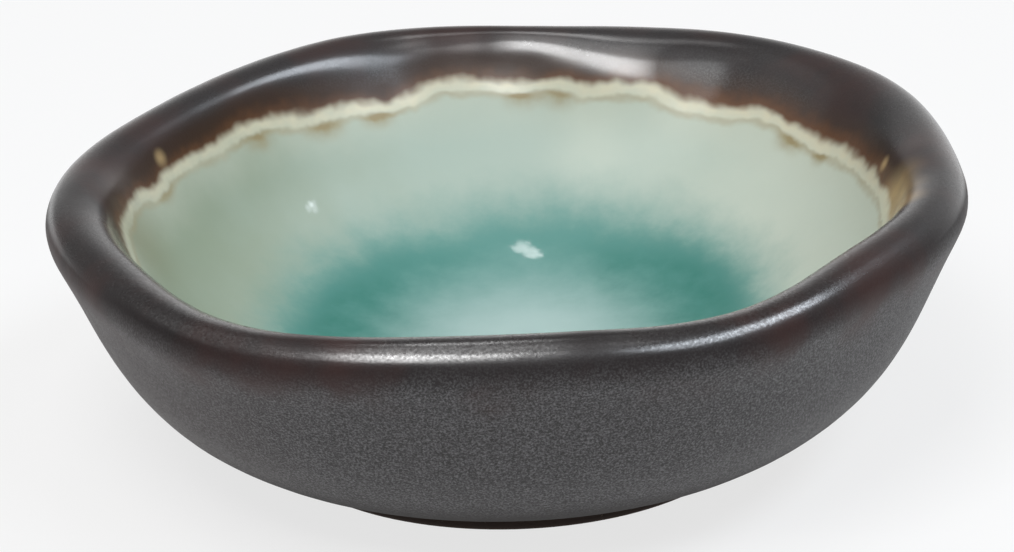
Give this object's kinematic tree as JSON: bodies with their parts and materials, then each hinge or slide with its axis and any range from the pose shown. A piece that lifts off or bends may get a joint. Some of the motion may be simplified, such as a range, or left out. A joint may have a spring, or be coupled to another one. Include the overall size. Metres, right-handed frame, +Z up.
{
  "type": "soy sauce dish",
  "caption": "Small round stoneware dipping dish with a rolled, softly dented rim, bronze outer glaze, celadon inside and a pooled teal well, on a low foot ring.",
  "frame": {"origin": "centre of the foot ring, on the table that the dish stands on", "axes": "+Z up out of the well; -Y faces the viewer of the reference view; +X to that viewer's right"},
  "size_m": [0.0997, 0.0985, 0.0306],
  "materials": {
    "stoneware": "unglazed, iron-bearing, fine grog",
    "foot_clay": "unglazed, sanded where it meets the table",
    "bronze_glaze": "satin metallic bronze with fine speckle",
    "rust_glaze": "semi-gloss, breaking from rust to cream",
    "celadon_glaze": "gloss",
    "pool_glaze": "gloss, glassy"
  },
  "bodies": {
    "root": {"clay_body": "stoneware", "foot_ring": "foot_clay", "bronze_coat": "bronze_glaze", "rust_line": "rust_glaze", "celadon_liner": "celadon_glaze", "glass_pool": "pool_glaze"}
  },
  "joints": []
}
